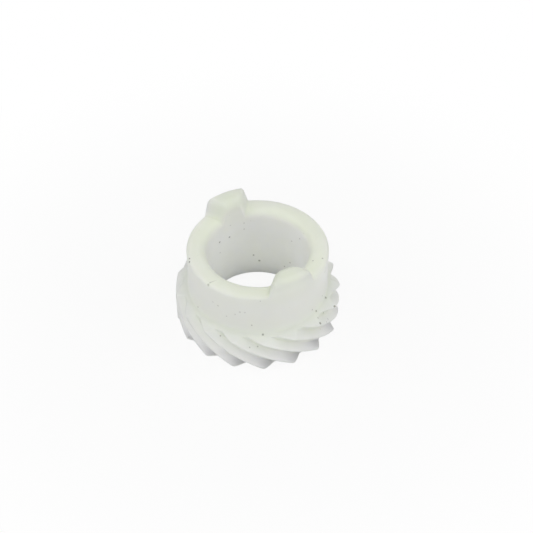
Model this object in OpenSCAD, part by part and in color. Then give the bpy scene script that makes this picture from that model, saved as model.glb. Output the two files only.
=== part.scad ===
// Helical drive gear, one moulding: a ring with a through bore, a band of
// strongly leaning teeth round its foot, a plain collar above the teeth and
// two opposite drive lugs on the rim.
// Millimetres, +Z up, origin at the middle of the flat toothed foot.

/* [Ring] */
// Height from the flat foot to the rim, without the lugs
body_h = 18.9; // [14:0.1:24]
// Outside diameter of the plain collar
collar_d = 30.2; // [28.6:0.1:31.4]
// Diameter of the bore
bore_d = 21.7; // [18:0.1:23]
// Radius of the bore's rounded mouth at the rim and on the lugs
mouth_r = 1.9; // [0.4:0.1:2.2]
// Radius of the rim's outer edge
rim_edge_r = 0.5; // [0.2:0.1:1]
// Radius of the bore's lower edge at the foot
foot_edge_r = 0.4; // [0.2:0.1:1]

/* [Teeth] */
// Number of teeth
tooth_count = 17; // [12:1:20]
// Diameter over the tooth tips
tip_d = 36; // [34.5:0.1:38]
// Diameter at the bottom of the gaps between the teeth
root_d = 32.5; // [31.8:0.1:33.4]
// Lean of the teeth away from the axis, measured at the tips, left hand
helix_angle = 61; // [30:1:66]
// Height of the teeth up to where their ends start to slope
band_h = 7.4; // [4:0.1:11]
// Height of the slope from the tooth ends to the collar
end_slope_h = 1.4; // [0.6:0.1:4]
// Width of a tooth's crest, as a share of the tooth pitch
crest_share = 0.12; // [0.05:0.01:0.25]
// Width of a tooth's base, as a share of the tooth pitch
base_share = 0.76; // [0.6:0.01:0.95]
// Turn of the whole tooth band about the axis
band_turn = -0.6; // [-20:0.1:20]

/* [Lugs] */
// Height of a lug above the rim
lug_h = 3.8; // [1.5:0.1:5]
// Half width of a lug at the rim, on the bore
lug_base_half = 2.9; // [2.2:0.1:3.4]
// Half width of a lug at its top, on the bore
lug_top_half = 1.6; // [1.5:0.1:2.1]
// Angle by which each side of a lug opens outwards from the lug's middle line
lug_spread = 37; // [0:1:40]
// Direction of the first lug, seen from above
lug_turn = 119; // [0:0.5:359]
// Radius of the corners between a lug's top and its sides
lug_corner_r = 1.2; // [0.2:0.1:1.4]
// Radius of the hollow where a lug's side runs into the rim
lug_root_r = 0.6; // [0.2:0.1:1.2]
// Radius of the edge between a lug's top and its outer face
lug_edge_r = 0.6; // [0.2:0.1:1]

/* [Hidden] */

// Faces round a full turn of the turned surfaces
turn_fn = 120;
// Steps along a rounded edge
edge_steps = 5;
// Rings up the straight part of the tooth band and up its sloping ends
band_steps = 10;
slope_steps = 3;
// Depth to which the tooth band and the lugs reach into the ring
overlap = 1;
// Extra length by which a lug's wedge starts inside the bore
lug_clearance = 0.1;

bore_r = bore_d / 2;
collar_r = collar_d / 2;
tip_r = tip_d / 2;
root_r = root_d / 2;
tooth_pitch = 360 / tooth_count;

// Distance from the axis at which a lug's wedge starts, inside the bore over the lug's whole width
lug_start = sqrt(pow(bore_r, 2) - pow(lug_base_half + lug_root_r, 2)) - lug_clearance;

// Turn of the teeth in degrees for each millimetre of height
twist_per_mm = -tan(helix_angle) / tip_r * 180 / PI;

// Points along an arc, in steps from one angle to the other
function arc(centre, r, from, to) =
    [for (i = [0 : edge_steps])
        let (a = from + (to - from) * i / edge_steps)
        centre + r * [cos(a), sin(a)]];

// Part of the way down a tooth's flank, 0 at the crest and 1 at the base
function flank_part(share) =
    let (from_crest = 2 * abs(share - 0.5))
    min(1, max(0, (from_crest - crest_share) / (base_share - crest_share)));

// Radius of a tooth across its pitch, with a rounded crest and a hollow root
function tooth_r(share) =
    let (part = flank_part(share), soft = (1 - cos(180 * part)) / 2)
    tip_r - (tip_r - root_r) * (part + soft) / 2;

// Places across one pitch where the outline of a tooth has a point
flank_stops = [0, 0.25, 0.5, 0.75, 1];
right_half = [for (f = flank_stops) 0.5 + (crest_share + (base_share - crest_share) * f) / 2];
tooth_places = [for (i = [len(right_half) - 1 : -1 : 0]) 1 - right_half[i], for (s = right_half) s];

// Largest radius at a height: it closes in to below the collar over the slope
function ring_limit(z) =
    tip_r - (tip_r - collar_r + overlap) * max(0, z - band_h) / end_slope_h;

ring_heights = [
    for (i = [0 : band_steps]) band_h * i / band_steps,
    for (i = [1 : slope_steps]) band_h + end_slope_h * i / slope_steps
];

// Solid whose sections are rings of points, listed from the lowest up
module loft(rings) {
    n = len(rings[0]);
    top = (len(rings) - 1) * n;
    polyhedron(
        [for (ring = rings, p = ring) p],
        [
            [for (i = [0 : n - 1]) i],
            for (k = [0 : n : top - n], i = [0 : n - 1])
                let (j = (i + 1) % n)
                each [[k + i, k + n + i, k + n + j], [k + i, k + n + j, k + j]],
            [for (i = [n - 1 : -1 : 0]) top + i]
        ]
    );
}

// Toothed foot as a solid disc, which the bore is cut through later
module tooth_band() {
    loft([for (z = ring_heights)
        [for (t = [0 : tooth_count - 1], s = tooth_places)
            let (a = (t + s - 0.5) * tooth_pitch + band_turn + twist_per_mm * z,
                 r = min(tooth_r(s), ring_limit(z)))
            [r * cos(a), r * sin(a), z]]
    ]);
}

// Plain ring between two heights, with its outer edge and the bore's mouth rounded at the top
module ring(base, top, edge_r) {
    rotate_extrude($fn = turn_fn)
        polygon(concat(
            [[bore_r - overlap, base], [collar_r, base]],
            arc([collar_r - edge_r, top - edge_r], edge_r, 0, 90),
            arc([bore_r + mouth_r, top - mouth_r], mouth_r, 90, 180),
            [[bore_r - overlap, top - mouth_r]]
        ));
}

// Collar above the teeth, from inside the tooth band up to the rim
module collar() {
    ring(overlap, body_h, rim_edge_r);
}

// Right half of a lug's outline across the wall, as half width and height above the rim
function lug_half_outline() =
    let (lean = atan2(lug_base_half - lug_top_half, lug_h),
         top = [lug_top_half - lug_corner_r * tan((90 - lean) / 2), lug_h - lug_corner_r],
         root = [lug_base_half + lug_root_r * tan((90 - lean) / 2), lug_root_r])
    concat(
        [[root[0], -mouth_r - 2 * overlap]],
        arc(root, lug_root_r, 270, 180 + lean),
        arc(top, lug_corner_r, lean, 90)
    );

// Wedge across the wall with the lug's outline, wider outwards by the spread
module lug_wedge() {
    half = lug_half_outline();
    n = len(half);
    loft([for (x = [lug_start, collar_r + overlap])
        let (wider = (x - bore_r) * tan(lug_spread))
        [
            for (p = half) [x, p[0] + wider, body_h + p[1]],
            for (i = [n - 1 : -1 : 0]) [x, -half[i][0] - wider, body_h + half[i][1]]
        ]
    ]);
}

// Lug as a stretch of a higher ring, from inside the rim up
module lug() {
    intersection() {
        ring(body_h - mouth_r - overlap, body_h + lug_h, lug_edge_r);
        lug_wedge();
    }
}

// Cutter for the bore and its rounded lower edge
module bore_cutter() {
    translate([0, 0, -overlap])
        cylinder(r = bore_r, h = body_h + lug_h + 2 * overlap, $fn = turn_fn);
    rotate_extrude($fn = turn_fn)
        polygon(concat(
            [[0, foot_edge_r], [0, -overlap], [bore_r + foot_edge_r, -overlap]],
            arc([bore_r + foot_edge_r, foot_edge_r], foot_edge_r, 270, 180)
        ));
}

module drive_gear() {
    color([0.86, 0.88, 0.81])
    difference() {
        union() {
            tooth_band();
            collar();
            for (turn = [lug_turn, lug_turn + 180])
                rotate([0, 0, turn]) lug();
        }
        bore_cutter();
    }
}

drive_gear();
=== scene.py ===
"""A moulded nylon drive gear: a ring with leaning teeth round its foot and two drive lugs on its rim."""

import math

import bpy
import numpy as np
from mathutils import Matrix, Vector, noise

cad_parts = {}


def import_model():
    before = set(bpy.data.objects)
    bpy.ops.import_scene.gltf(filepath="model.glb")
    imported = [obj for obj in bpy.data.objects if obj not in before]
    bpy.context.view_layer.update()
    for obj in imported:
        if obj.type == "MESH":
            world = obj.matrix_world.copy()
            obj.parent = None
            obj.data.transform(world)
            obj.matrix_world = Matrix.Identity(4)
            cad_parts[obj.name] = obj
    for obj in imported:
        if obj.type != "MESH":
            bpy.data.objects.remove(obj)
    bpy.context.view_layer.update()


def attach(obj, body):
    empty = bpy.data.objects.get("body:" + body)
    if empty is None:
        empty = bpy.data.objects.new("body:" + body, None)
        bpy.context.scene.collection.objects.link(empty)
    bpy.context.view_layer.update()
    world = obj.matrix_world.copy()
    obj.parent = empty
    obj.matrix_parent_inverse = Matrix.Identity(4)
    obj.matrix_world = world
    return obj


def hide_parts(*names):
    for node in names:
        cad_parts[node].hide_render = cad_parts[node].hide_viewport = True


MM = 0.001
NODE = "drive_gear"

# Sizes of the gear that are the same as in the solid model, in millimetres and degrees
BODY_H = 18.9
COLLAR_R = 15.1
BORE_R = 10.85
MOUTH_R = 1.9
FOOT_EDGE_R = 0.4
TOOTH_COUNT = 17
TIP_R = 18.0
ROOT_R = 16.25
HELIX_ANGLE = 61
BAND_H = 7.4
END_SLOPE_H = 1.4
BASE_SHARE = 0.76
BAND_TURN = -0.6
LUG_H = 3.8
LUG_BASE_HALF = 2.9
LUG_TOP_HALF = 1.6
LUG_SPREAD = 37
LUG_ROOT_R = 0.6
# Depth below the collar's surface to which the tooth ends slope
OVERLAP = 1.0

# Sizes that are nearer to the photograph than the solid model's: the radius of the rim's outer edge,
# the width of a tooth's crest as a share of the pitch, and how much of a tooth's flank is curved,
# where 0 is straight with crisp edges at the crest
RIM_EDGE_R = 0.8
CREST_SHARE = 0.06
FLANK_SOFT = 0.15
# Direction of each lug, and the radii of its top's corners and of its top's outer edge, by wear
LUGS = ((119, 1.2, 0.6), (299, 2.0, 1.2))

# Moulded edges, in millimetres: widths of the rounding where the tooth ends start to slope and where
# they meet the collar, how far the hollow there reaches out and up, and the edge round the teeth's foot
END_SOFT = 0.2
COLLAR_SOFT = 0.8
FILLET_OUT = 0.4
FILLET_UP = 1.6
TOOTH_FOOT_EDGE = 0.1

# Height where the tooth ends have run into the collar, and turn of the teeth in radians a millimetre
BAND_TOP = BAND_H + END_SLOPE_H
TWIST = -math.tan(math.radians(HELIX_ANGLE)) / TIP_R

# Mesh columns across the parts of one tooth
ROOT_COLUMNS = 3
FLANK_COLUMNS = 8
CREST_COLUMNS = 3

# Mesh rows along the section, as counts on its straight parts and as degrees round its edges
FOOT_ROWS = 7
FOOT_EDGE_TURNS = (0, 30, 60)
BAND_ROWS = 20
SLOPE_ROWS = 16
FILLET_ROWS = 9
COLLAR_ROWS = 8
RIM_WALL_ROWS = 14
RIM_EDGE_TURNS = (0, 10, 20, 30, 40, 50, 60, 70, 80)
TOP_ROWS = 8
MOUTH_TURNS = (90, 80, 70, 61, 52, 44, 36, 28, 20, 12, 5)
MOUTH_WALL_ROWS = 10
BORE_ROWS = 18
BORE_EDGE_TURNS = (0, 22, 45, 67)
LUG_CURVE_POINTS = 12

# How far below the rim the rows start to follow its height and the lugs', outside and in the bore
WALL_STRETCH = 3.0
BORE_STRETCH = 4.0

# Camera, fitted to the photograph: distance in millimetres, elevation in degrees, and its focal length
# and the origin's place in pixels of the photograph
FRAME_PX = 533
CAMERA_DISTANCE = 247.9
CAMERA_ELEVATION = 47.19
FOCAL_PX = 1109.2
ORIGIN_PX = (257.7, 307.2)
SENSOR_MM = 36.0
# Nearest distance that the camera sees, in metres
CLIP_START = 0.01

WHITE = (1, 1, 1, 1)

# Side of the floor in metres, and the gap between it and the foot in millimetres, which lets light
# reach the undersides of the teeth
FLOOR_SIZE = 4
FLOOR_GAP = 0.4
FLOOR_COLOUR = (0.93, 0.93, 0.93, 1)
# Share of plain white in what is seen of the floor near the gear. It grows to all of it between two
# distances from the middle, in metres
WHITE_SHARE = 0.88
WHITE_FROM = 0.03
WHITE_TO = 0.1

# How deep light goes into the nylon in metres, and the share of that for red, green and blue
LIGHT_DEPTH = 0.007
LIGHT_REACH = (1.0, 1.0, 0.9)
# Colour of the collar, and a lighter colour in the bore, which is painted light against the shade inside
# it and ends at a radius in millimetres
BODY_COLOUR = (0.902, 0.957, 0.858, 1)
BORE_PAINTED_LIGHT = (0.98, 1.0, 0.93, 1)
BORE_LIGHT_TO = 11.8
# Painted shade on the teeth, a darker colour which starts between two radii, and painted light at their
# foot, a lighter colour which they go to between two heights
TOOTH_PAINTED_SHADE = (0.78, 0.806, 0.746, 1)
TOOTH_SHADE_FROM = 15.1
TOOTH_SHADE_TO = 15.5
FOOT_PAINTED_LIGHT = (0.975, 0.99, 0.93, 1)
FOOT_LIGHT_FROM = 8.5
FOOT_LIGHT_TO = 1.0
# Yellower and darker colours of the rim's and the lugs' tops, painted shade that tones down these lit
# tops, each of which comes in between two heights
RIM_TINT_AND_SHADE = (0.815, 0.872, 0.712, 1)
RIM_SHADE_FROM = 14.5
RIM_SHADE_TO = 18.8
LUG_TINT_AND_SHADE = (0.74, 0.798, 0.652, 1)
LUG_SHADE_FROM = 19.2
LUG_SHADE_TO = 21.4
# This painted shade is full where the surface looks up, by the upward part of its direction, and weak on
# walls
UPWARD_FROM = 0.0
UPWARD_TO = 0.9
WALL_SHADE_SHARE = 0.3
# Clouds in the nylon: colour, size in millimetres, detail, the noise values between which they come
# in, and how much of their colour is mixed in at most
CLOUD_COLOUR = (0.90, 0.93, 0.83, 1)
CLOUD_SIZE = 7.0
CLOUD_DETAIL = 3.0
CLOUD_FROM = 0.35
CLOUD_TO = 0.75
CLOUD_SHARE = 0.35
# Roughness, which goes from one value to the other with the clouds
ROUGHNESS = (0.38, 0.52)
ROUGHNESS_FROM = 0.3
ROUGHNESS_TO = 0.7
# Fine grain of the surface, in millimetres
GRAIN_SIZE = 0.5
GRAIN_DEPTH = 0.004
GRAIN_DETAIL = 2.0

# Dark specks in the nylon. Small ones lie scattered all over, by cell size and size in millimetres,
# in a share of the cells, and are darkest in a share of their radius
SPECK_COLOUR = (0.16, 0.16, 0.12, 1)
SCATTER_CELL = 2.2
SCATTER_R = 0.22
SCATTER_CORE = 0.4
SCATTER_SHARE = 0.5
SCATTER_DARK = 0.5
# How much larger than given the placed specks are drawn, to make up for light that goes round them,
# and the share of a speck's radius in which it is darkest
SPECK_GROWTH = 1.6
SPECK_CORE = 0.35
# The larger ones have a place each: direction in degrees, radius and height, their own radius and darkness
SPECKS = [
    (125, 10.85, 13.1, 0.20, 0.65),
    (140, 10.85, 13.4, 0.20, 0.70),
    (140, 10.85, 10.2, 0.16, 0.35),
    (95, 10.85, 5.7, 0.19, 0.55),
    (88, 10.85, 3.9, 0.23, 0.65),
    (48, 10.85, 6.0, 0.16, 0.45),
    (56, 10.85, 3.9, 0.16, 0.45),
    (106, 10.85, 15.9, 0.15, 0.35),
    (106, 10.85, 14.1, 0.15, 0.35),
    (-166, 14.7, 18.8, 0.18, 0.60),
    (-163, 14.9, 18.6, 0.20, 0.75),
    (-128, 15.1, 14.4, 0.17, 0.22),
    (-123, 15.1, 14.1, 0.18, 0.28),
    (-108, 15.1, 13.3, 0.17, 0.22),
    (-104, 15.1, 14.3, 0.17, 0.30),
    (-100, 15.1, 14.4, 0.17, 0.22),
    (-19, 15.5, 8.5, 0.22, 0.70),
    (-36, 15.4, 8.6, 0.20, 0.60),
    (-30, 16.2, 7.0, 0.20, 0.60),
    (-41, 17.6, 7.5, 0.26, 0.90),
    (-22, 17.8, 7.4, 0.26, 0.95),
    (-34, 17.8, 6.2, 0.17, 0.45),
    (-39, 16.5, 7.9, 0.17, 0.45),
    (-40, 15.1, 9.7, 0.17, 0.40),
    (-30, 17.4, 5.7, 0.17, 0.40),
    (-86, 15.6, 8.4, 0.20, 0.65),
    (-90, 16.5, 5.7, 0.16, 0.40),
    (-15, 14.0, 18.9, 0.17, 0.45),
]

# Nick in the rim's outer edge, with a short scratch inwards: places as above, and sizes in millimetres
NICK = (-133, 14.8, 18.4)
NICK_R = 0.4
NICK_DEPTH = 0.25
NICK_DARK = 0.4
SCRATCH_START = (-132.6, 14.5, 18.85)
SCRATCH_END = (-130.3, 13.1, 18.9)
SCRATCH_STEPS = 8
SCRATCH_R = 0.17
SCRATCH_DARK = 0.5

# Hollows where the nylon sank while it cooled, and the wear of the teeth, in millimetres. Wear grows
# towards the crest, by a power of the share of the tooth's height
SINK_DEPTH = 0.05
SINK_SIZE = 6.0
WEAR_DEPTH = 0.05
WEAR_SIZE = 1.2
WEAR_POWER = 3

# Strength of the even light from all round, and the soft lamps: place and side in metres, power in watts
SKY = 0.16
LAMPS = {
    "front": ((0.0, -0.38, 0.36), 0.4, 0.77),
    "overhead": ((0.0, 0.05, 0.6), 0.5, 0.4),
    "left_high": ((-0.4, 0.0, 0.45), 0.4, 0.93),
    "right_high": ((0.4, 0.0, 0.45), 0.4, 0.84),
    "left_low": ((-0.45, -0.25, 0.08), 0.4, 0.12),
    "right_low": ((0.45, -0.25, 0.08), 0.4, 0.32),
    "back_low": ((0.0, 0.5, 0.15), 0.4, 0.3),
}


def soft_min(a, b, width):
    """The smaller of two values, with a rounded change from one to the other."""
    share = np.clip(0.5 + 0.5 * (b - a) / width, 0, 1)
    return b + (a - b) * share - width * share * (1 - share)


def soft_max(a, b, width):
    """The larger of two values, with a rounded change from one to the other."""
    return -soft_min(-a, -b, width)


def steps(start, end, count):
    """Evenly spaced values that start at the first and stop one step before the end."""
    return np.linspace(start, end, count, endpoint=False)


def tooth_radius(share):
    """Radius of a tooth across its pitch, with a crest, flanks that are slightly curved, and a root."""
    from_crest = 2 * np.abs(share - 0.5)
    part = np.clip((from_crest - CREST_SHARE) / (BASE_SHARE - CREST_SHARE), 0, 1)
    soft = (1 - np.cos(np.pi * part)) / 2
    return TIP_R - (TIP_R - ROOT_R) * (part + (soft - part) * FLANK_SOFT)


def outer_radius(share, z):
    """Radius of the outside at a place across the tooth pitch and a height."""
    slope = (TIP_R - COLLAR_R + OVERLAP) / END_SLOPE_H
    limit = TIP_R - slope * (z - BAND_H)
    shaded_teeth = soft_min(tooth_radius(share), limit, END_SOFT)
    fillet_from = BAND_H + (TIP_R - COLLAR_R) / slope
    left = 1 - np.clip((z - fillet_from) / FILLET_UP, 0, 1)
    collar = COLLAR_R + FILLET_OUT * (1 - np.sqrt(1 - left**2))
    return soft_max(shaded_teeth, collar, COLLAR_SOFT)


def tooth_columns():
    """Places across one tooth pitch, with one at each corner of the crest and at each end of a flank."""
    base, crest = (1 - BASE_SHARE) / 2, (1 - CREST_SHARE) / 2
    stops = [0, base, crest, 1 - crest, 1 - base, 1]
    counts = [ROOT_COLUMNS, FLANK_COLUMNS, CREST_COLUMNS, FLANK_COLUMNS, ROOT_COLUMNS]
    return np.concatenate([steps(*span) for span in zip(stops, stops[1:], counts)])


def lug_side_curve(corner_r):
    """Height of a lug's side over the distance in from its foot, with a hollow and a round corner."""
    lean = math.atan2(LUG_BASE_HALF - LUG_TOP_HALF, LUG_H)
    half_turn = math.tan((math.pi / 2 - lean) / 2)
    root = (-LUG_ROOT_R * half_turn, LUG_ROOT_R)
    top = (LUG_BASE_HALF - LUG_TOP_HALF + corner_r * half_turn, LUG_H - corner_r)
    turn = np.linspace(0, math.pi / 2 - lean, LUG_CURVE_POINTS)
    inwards = np.concatenate([root[0] + LUG_ROOT_R * np.sin(turn), top[0] - corner_r * np.sin(turn[::-1])])
    upwards = np.concatenate([root[1] - LUG_ROOT_R * np.cos(turn), top[1] + corner_r * np.cos(turn[::-1])])
    return inwards, upwards


def lug_height(radius, angle):
    """Height of the two lugs above the rim, and the radius of the outer edge, at each angle."""
    height = np.zeros_like(angle)
    edge = np.full_like(angle, RIM_EDGE_R)
    for turn, corner_r, edge_r in LUGS:
        inwards, upwards = lug_side_curve(corner_r)
        away = angle - math.radians(turn)
        out, across = radius * np.cos(away), radius * np.sin(away)
        wider = (out - BORE_R) * math.tan(math.radians(LUG_SPREAD))
        side = np.interp(LUG_BASE_HALF + wider - np.abs(across), inwards, upwards, left=0)
        side = np.where(out > 0, side, 0)
        height = np.maximum(height, side)
        edge += (edge_r - RIM_EDGE_R) * side / LUG_H
    return height, edge


def edge_drop(depth, edge_r):
    """How far a rounded edge has dropped at a depth into it, where a depth of edge_r is its outer face."""
    inside = np.clip(depth, 0, edge_r)
    return edge_r - np.sqrt(edge_r**2 - inside**2)


def top_height(radius, angle):
    """Height of the rim and its lugs, with the rim's outer edge and the bore's wide mouth rounded."""
    lug, outer_edge = lug_height(radius, angle)
    drop = edge_drop(radius - (COLLAR_R - outer_edge), outer_edge)
    drop += edge_drop((BORE_R + MOUTH_R) - radius, MOUTH_R)
    return BODY_H + lug - drop


def foot_rows(share, start):
    """Rows from the bore's edge out over the flat foot and round the small edge of the teeth."""
    inner = BORE_R + FOOT_EDGE_R
    outer = outer_radius(share, 0.0) - TOOTH_FOOT_EDGE
    rows = [(inner + (outer - inner) * part, 0.0, start) for part in steps(0, 1, FOOT_ROWS)]
    for turn in np.radians(FOOT_EDGE_TURNS):
        z = TOOTH_FOOT_EDGE * (1 - math.cos(turn))
        rows.append((outer + TOOTH_FOOT_EDGE * math.sin(turn), z, start + TWIST * z))
    return rows


def tooth_rows(share, start):
    """Rows up the teeth, over their sloping ends and up the hollow to the plain collar."""
    heights = np.concatenate([
        steps(TOOTH_FOOT_EDGE, BAND_H - END_SOFT, BAND_ROWS),
        steps(BAND_H - END_SOFT, BAND_TOP, SLOPE_ROWS),
        steps(BAND_TOP, BAND_TOP + FILLET_UP, FILLET_ROWS),
    ])
    return [(outer_radius(share, z), z, start + TWIST * min(z, BAND_TOP)) for z in heights]


def collar_rows(angle):
    """Rows up the plain collar, of which the upper ones follow the height of the rim and its lugs."""
    stretch_from = BODY_H - WALL_STRETCH
    rows = [(COLLAR_R, z, angle) for z in steps(BAND_TOP + FILLET_UP, stretch_from, COLLAR_ROWS)]
    stretch = top_height(COLLAR_R, angle) - stretch_from
    rows += [(COLLAR_R, stretch_from + stretch * part, angle) for part in steps(0, 1, RIM_WALL_ROWS)]
    return rows


def top_rows(angle):
    """Rows from the rim's outer edge in over its top and round the bore's mouth."""
    widest_edge = max(edge_r for _, _, edge_r in LUGS)
    radii = np.concatenate([
        COLLAR_R - widest_edge * (1 - np.cos(np.radians(RIM_EDGE_TURNS))),
        steps(COLLAR_R - widest_edge, BORE_R + MOUTH_R, TOP_ROWS),
        BORE_R + MOUTH_R * (1 - np.cos(np.radians(MOUTH_TURNS))),
    ])
    return [(radius, top_height(radius, angle), angle) for radius in radii]


def bore_rows(start, angle):
    """Rows down the bore, which turn back to where the foot starts, and round its lower edge."""
    stretch_from = BODY_H - BORE_STRETCH
    stretch = top_height(BORE_R, angle) - stretch_from
    rows = [(BORE_R, stretch_from + stretch * part, angle) for part in steps(1, 0, MOUTH_WALL_ROWS)]
    for z in steps(stretch_from, FOOT_EDGE_R, BORE_ROWS):
        part = (z - FOOT_EDGE_R) / (stretch_from - FOOT_EDGE_R)
        rows.append((BORE_R, z, start + TWIST * BAND_TOP * part))
    for turn in np.radians(BORE_EDGE_TURNS):
        radius = BORE_R + FOOT_EDGE_R * (1 - math.cos(turn))
        rows.append((radius, FOOT_EDGE_R * (1 - math.sin(turn)), start))
    return rows


def gear_rows():
    """The gear's closed section as rows of (radius, height, angle), where the angles go round the gear."""
    one_tooth = tooth_columns()
    share = np.tile(one_tooth, TOOTH_COUNT)
    tooth = np.repeat(np.arange(TOOTH_COUNT), len(one_tooth))
    start = np.radians((tooth + share - 0.5) * 360 / TOOTH_COUNT + BAND_TURN)
    angle = start + TWIST * BAND_TOP
    outside = foot_rows(share, start) + tooth_rows(share, start) + collar_rows(angle)
    return outside + top_rows(angle) + bore_rows(start, angle)


def cylinder_place(angle, radius, height):
    """A place given by its direction in degrees, radius and height."""
    turn = math.radians(angle)
    return Vector((radius * math.cos(turn), radius * math.sin(turn), height))


def waves(point, size):
    """Smooth noise about 0.5 with bumps of a size."""
    return 0.5 + 0.5 * noise.noise(point / size)


def moulded(point):
    """A point of the ideal surface, moved as the sunk nylon, the worn crests and the nick have it."""
    radius = math.hypot(point.x, point.y)
    moved = point.copy()
    if radius > (BORE_R + COLLAR_R) / 2:
        crest = max(0.0, (radius - ROOT_R) / (TIP_R - ROOT_R))
        sunk = SINK_DEPTH * waves(point, SINK_SIZE)
        worn = WEAR_DEPTH * crest**WEAR_POWER * waves(point, WEAR_SIZE)
        moved -= Vector((point.x, point.y, 0)) * (sunk + worn) / radius
    nick = cylinder_place(*NICK)
    bite = NICK_DEPTH * math.exp(-((point - nick).length / NICK_R)**2)
    moved -= Vector((nick.x, nick.y, 0)).normalized() * bite
    moved.z -= bite
    return moved


def closed_grid(name, rows):
    """One closed mesh from rows that join end to end both ways."""
    points = np.array([
        np.stack(np.broadcast_arrays(r * np.cos(a), r * np.sin(a), z), axis=1) for r, z, a in rows
    ])
    count, columns = points.shape[:2]
    index = np.arange(count * columns).reshape(count, columns)
    above, beside = np.roll(index, -1, axis=0), np.roll(index, -1, axis=1)
    quads = np.stack([index, beside, np.roll(above, -1, axis=1), above], axis=-1).reshape(-1, 4)
    places = [moulded(Vector(point)) * MM for point in points.reshape(-1, 3)]
    mesh = bpy.data.meshes.new(name)
    mesh.from_pydata(places, [], quads.tolist())
    mesh.update()
    mesh.shade_smooth()
    piece = bpy.data.objects.new(name, mesh)
    bpy.context.scene.collection.objects.link(piece)
    return piece


def node(tree, kind, inputs, **settings):
    """A new shader node with its settings. An input is given a value, or another node's socket."""
    made = tree.nodes.new("ShaderNode" + kind)
    for name, value in settings.items():
        setattr(made, name, value)
    for key, value in inputs.items():
        if isinstance(value, bpy.types.NodeSocket):
            tree.links.new(value, made.inputs[key])
        else:
            made.inputs[key].default_value = value
    return made


def mixed(tree, part, first, second):
    """The socket of a colour that goes from the first to the second."""
    colours = node(tree, "Mix", {0: part, 6: first, 7: second}, data_type="RGBA")
    return colours.outputs[2]


def ramp(tree, value, start, end, low=0.0, high=1.0):
    """The socket of a value that goes from low to high while the given one goes from start to end."""
    limits = {"Value": value, "From Min": start, "From Max": end, "To Min": low, "To Max": high}
    return node(tree, "MapRange", limits, interpolation_type="SMOOTHSTEP").outputs["Result"]


def worked_out(tree, operation, first, second):
    """The socket of what an operation makes of two values."""
    return node(tree, "Math", {0: first, 1: second}, operation=operation).outputs[0]


def length(tree, vector):
    """The socket of a vector's length."""
    return node(tree, "VectorMath", {0: vector}, operation="LENGTH").outputs["Value"]


def noise_value(tree, place, size, detail):
    """The socket of a noise with bumps of a size in millimetres."""
    inputs = {"Vector": place, "Scale": 1 / (size * MM), "Detail": detail}
    return node(tree, "TexNoise", inputs).outputs["Fac"]


def placed_speck(tree, place, centre, radius, dark):
    """Darkness of one speck: full at its centre and none outside its radius."""
    away = node(tree, "VectorMath", {0: place, 1: centre * MM}, operation="DISTANCE").outputs["Value"]
    return ramp(tree, away, SPECK_CORE * radius * MM, radius * MM, dark, 0.0)


def scattered_specks(tree, place):
    """Darkness of the small specks: a share of the cells of a cell pattern has one at its centre."""
    cells = node(tree, "TexVoronoi", {"Vector": place, "Scale": 1 / (SCATTER_CELL * MM)})
    size = SCATTER_R / SCATTER_CELL
    dot = ramp(tree, cells.outputs["Distance"], SCATTER_CORE * size, size, SCATTER_DARK, 0.0)
    lot = node(tree, "SeparateColor", {"Color": cells.outputs["Color"]}).outputs["Red"]
    chosen = worked_out(tree, "LESS_THAN", lot, SCATTER_SHARE)
    return worked_out(tree, "MULTIPLY", dot, chosen)


def specks(tree, place):
    """Darkness of all specks, the nick and its scratch."""
    spots = [(cylinder_place(*NICK), NICK_R, NICK_DARK)]
    for angle, radius, height, size, dark in SPECKS:
        spots.append((cylinder_place(angle, radius, height), SPECK_GROWTH * size, dark))
    scratch_start, scratch_end = cylinder_place(*SCRATCH_START), cylinder_place(*SCRATCH_END)
    for step in range(SCRATCH_STEPS):
        centre = scratch_start.lerp(scratch_end, step / (SCRATCH_STEPS - 1))
        spots.append((centre, SCRATCH_R, SCRATCH_DARK * (1 - step / SCRATCH_STEPS)))
    darkness = scattered_specks(tree, place)
    for spot in spots:
        darkness = worked_out(tree, "MAXIMUM", darkness, placed_speck(tree, place, *spot))
    return darkness


def nylon_colour(tree, coordinates, cloud):
    """The nylon's colour by radius and height: painted light in the bore and at the teeth's foot, painted
    shade on the teeth, yellower painted shade where the top looks up, and clouds and specks.
    """
    place = coordinates["Object"]
    height = node(tree, "SeparateXYZ", {"Vector": place}).outputs["Z"]
    flat = node(tree, "VectorMath", {0: place, 1: (1, 1, 0)}, operation="MULTIPLY").outputs["Vector"]
    radius = length(tree, flat)
    # Painted light: the bore gets a lighter colour against the shade inside it
    beyond_bore_light = ramp(tree, radius, BORE_R * MM, BORE_LIGHT_TO * MM)
    colour = mixed(tree, beyond_bore_light, BORE_PAINTED_LIGHT, BODY_COLOUR)

    # Painted light and shade on the teeth: lighter towards the foot, darker higher up
    above_foot_light = ramp(tree, height, FOOT_LIGHT_TO * MM, FOOT_LIGHT_FROM * MM)
    shaded_teeth = mixed(tree, above_foot_light, FOOT_PAINTED_LIGHT, TOOTH_PAINTED_SHADE)
    on_shaded_teeth = ramp(tree, radius, TOOTH_SHADE_FROM * MM, TOOTH_SHADE_TO * MM)
    colour = mixed(tree, on_shaded_teeth, colour, shaded_teeth)

    # Painted shade: the rim's and the lugs' tops are darker and yellower where they face up
    direction = node(tree, "SeparateXYZ", {"Vector": coordinates["Normal"]}).outputs["Z"]
    upward = ramp(tree, direction, UPWARD_FROM, UPWARD_TO, WALL_SHADE_SHARE, 1.0)
    for tint_and_shade, low, high in [
        (RIM_TINT_AND_SHADE, RIM_SHADE_FROM, RIM_SHADE_TO),
        (LUG_TINT_AND_SHADE, LUG_SHADE_FROM, LUG_SHADE_TO),
    ]:
        part = worked_out(tree, "MULTIPLY", ramp(tree, height, low * MM, high * MM), upward)
        colour = mixed(tree, part, colour, tint_and_shade)

    colour = mixed(tree, ramp(tree, cloud, CLOUD_FROM, CLOUD_TO, 0.0, CLOUD_SHARE), colour, CLOUD_COLOUR)
    return mixed(tree, specks(tree, place), colour, SPECK_COLOUR)


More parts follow.
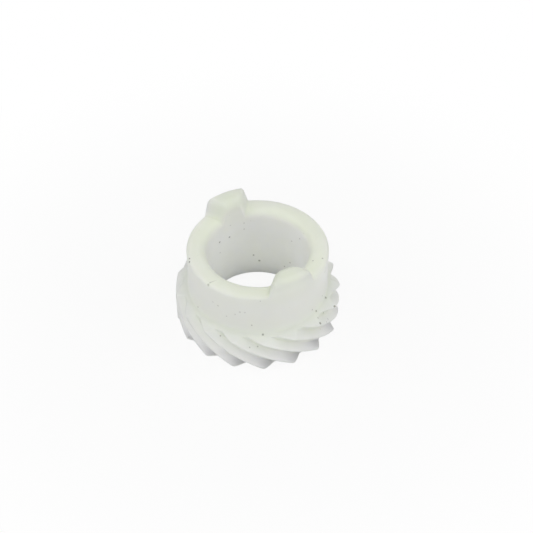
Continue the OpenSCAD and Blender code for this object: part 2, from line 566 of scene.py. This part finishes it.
def nylon():
    """Milky nylon that light goes into, with clouds, specks and a faint grain."""
    material = bpy.data.materials.new("nylon")
    material.use_nodes = True
    tree = material.node_tree
    shader = tree.nodes["Principled BSDF"]
    coordinates = node(tree, "TexCoord", {}).outputs
    place = coordinates["Object"]
    cloud = noise_value(tree, place, CLOUD_SIZE, CLOUD_DETAIL)
    tree.links.new(nylon_colour(tree, coordinates, cloud), shader.inputs["Base Color"])
    roughness = ramp(tree, cloud, ROUGHNESS_FROM, ROUGHNESS_TO, *ROUGHNESS)
    tree.links.new(roughness, shader.inputs["Roughness"])
    grain = noise_value(tree, place, GRAIN_SIZE, GRAIN_DETAIL)
    bump = node(tree, "Bump", {"Height": grain, "Strength": 1.0, "Distance": GRAIN_DEPTH * MM})
    tree.links.new(bump.outputs["Normal"], shader.inputs["Normal"])
    shader.inputs["Subsurface Weight"].default_value = 1.0
    shader.inputs["Subsurface Radius"].default_value = LIGHT_REACH
    shader.inputs["Subsurface Scale"].default_value = LIGHT_DEPTH
    return material


def gear():
    """The gear as one mesh in place of the solid model's node."""
    piece = closed_grid("nylon_gear", gear_rows())
    piece.data.materials.append(nylon())
    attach(piece, "root")
    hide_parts(NODE)


def camera():
    """The photograph's camera: it looks at the origin along +Y and down, with the frame shifted."""
    data = bpy.data.cameras.new("camera")
    data.sensor_width = SENSOR_MM
    data.lens = FOCAL_PX / FRAME_PX * SENSOR_MM
    data.shift_x = (FRAME_PX / 2 - ORIGIN_PX[0]) / FRAME_PX
    data.shift_y = (ORIGIN_PX[1] - FRAME_PX / 2) / FRAME_PX
    data.clip_start = CLIP_START
    elevation = math.radians(CAMERA_ELEVATION)
    eye = bpy.data.objects.new("camera", data)
    eye.location = Vector((0, -math.cos(elevation), math.sin(elevation))) * CAMERA_DISTANCE * MM
    eye.rotation_euler = (math.pi / 2 - elevation, 0, 0)
    bpy.context.scene.collection.objects.link(eye)
    bpy.context.scene.camera = eye


def lamp(name, place, size, watts):
    """A soft square lamp that points at the gear."""
    data = bpy.data.lights.new(name, "AREA")
    data.size = size
    data.energy = watts
    light = bpy.data.objects.new(name, data)
    light.location = place
    light.rotation_euler = Vector(place).to_track_quat("Z", "Y").to_euler()
    bpy.context.scene.collection.objects.link(light)


def seen_white(tree):
    """A socket that is 1 for what the camera, reflections and transmission see, and 0 for lighting."""
    path = node(tree, "LightPath", {}).outputs
    seen = worked_out(tree, "MAXIMUM", path["Is Camera Ray"], path["Is Glossy Ray"])
    return worked_out(tree, "MAXIMUM", seen, path["Is Transmission Ray"])


def floor():
    """A pale floor that keeps a faint shadow of the gear and is plain white farther out."""
    bpy.ops.mesh.primitive_plane_add(size=FLOOR_SIZE)
    plane = bpy.context.object
    plane.name = "floor"
    plane.location.z = -FLOOR_GAP * MM
    material = bpy.data.materials.new("floor")
    material.use_nodes = True
    tree = material.node_tree
    tree.nodes.clear()
    away = length(tree, node(tree, "TexCoord", {}).outputs["Object"])
    share = ramp(tree, away, WHITE_FROM, WHITE_TO, WHITE_SHARE, 1.0)
    part = worked_out(tree, "MULTIPLY", seen_white(tree), share)
    matte = node(tree, "BsdfDiffuse", {"Color": FLOOR_COLOUR}).outputs[0]
    white = node(tree, "Emission", {"Color": WHITE}).outputs[0]
    surface = node(tree, "MixShader", {0: part, 1: matte, 2: white}).outputs[0]
    node(tree, "OutputMaterial", {"Surface": surface})
    plane.data.materials.append(material)


def world():
    """A white background, which gives only a weak even light."""
    sky = bpy.data.worlds.new("studio")
    bpy.context.scene.world = sky
    sky.use_nodes = True
    tree = sky.node_tree
    background = tree.nodes["Background"]
    background.inputs["Color"].default_value = WHITE
    tree.links.new(ramp(tree, seen_white(tree), 0.0, 1.0, SKY, 1.0), background.inputs["Strength"])


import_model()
camera()
gear()
floor()
world()
for lamp_name, (place, size, watts) in LAMPS.items():
    lamp(lamp_name, place, size, watts)
bpy.context.scene.view_settings.view_transform = "Standard"
